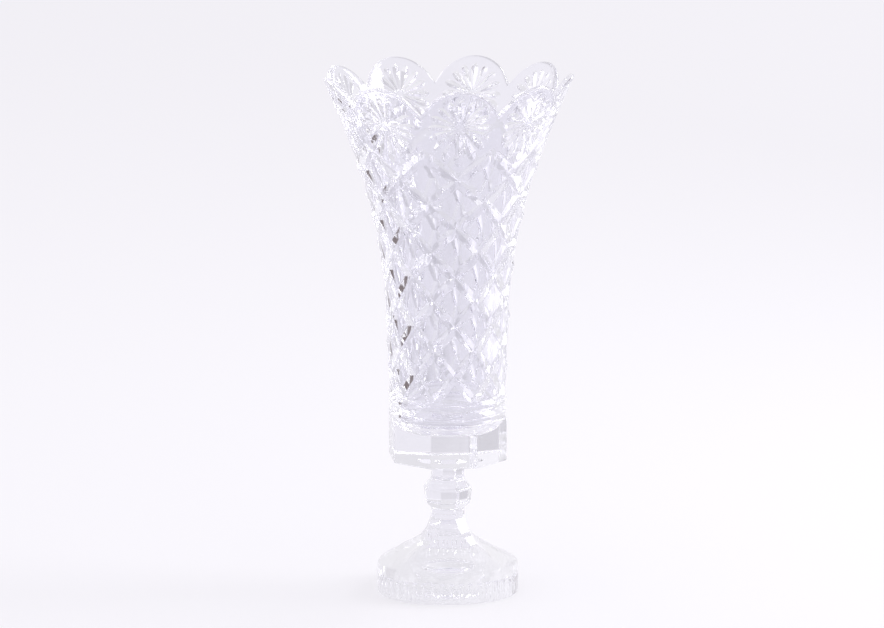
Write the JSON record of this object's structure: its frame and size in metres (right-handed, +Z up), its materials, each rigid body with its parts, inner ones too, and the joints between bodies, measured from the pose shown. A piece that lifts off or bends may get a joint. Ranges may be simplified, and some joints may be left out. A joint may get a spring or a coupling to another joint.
{
  "type": "footed vase",
  "caption": "Clear pressed-glass footed vase: flared bowl with a scalloped rim, star and diamond relief, on a faceted knop stem and a four-sided ribbed foot, for holding cut flowers.",
  "frame": {"origin": "on the vase's axis, in the plane that the foot stands on", "axes": "+Z up along the vase's axis, -Y out of the middle of one side of the foot"},
  "size_m": [0.1712, 0.1707, 0.358],
  "materials": {
    "clear_glass": "clear polished pressed glass",
    "clear_adhesive": "clear cured adhesive film"
  },
  "bodies": {
    "root": {"bowl": "clear_glass", "stem_knop": "clear_glass", "foot": "clear_glass", "bowl_bond": "clear_adhesive", "foot_bond": "clear_adhesive"}
  },
  "joints": []
}
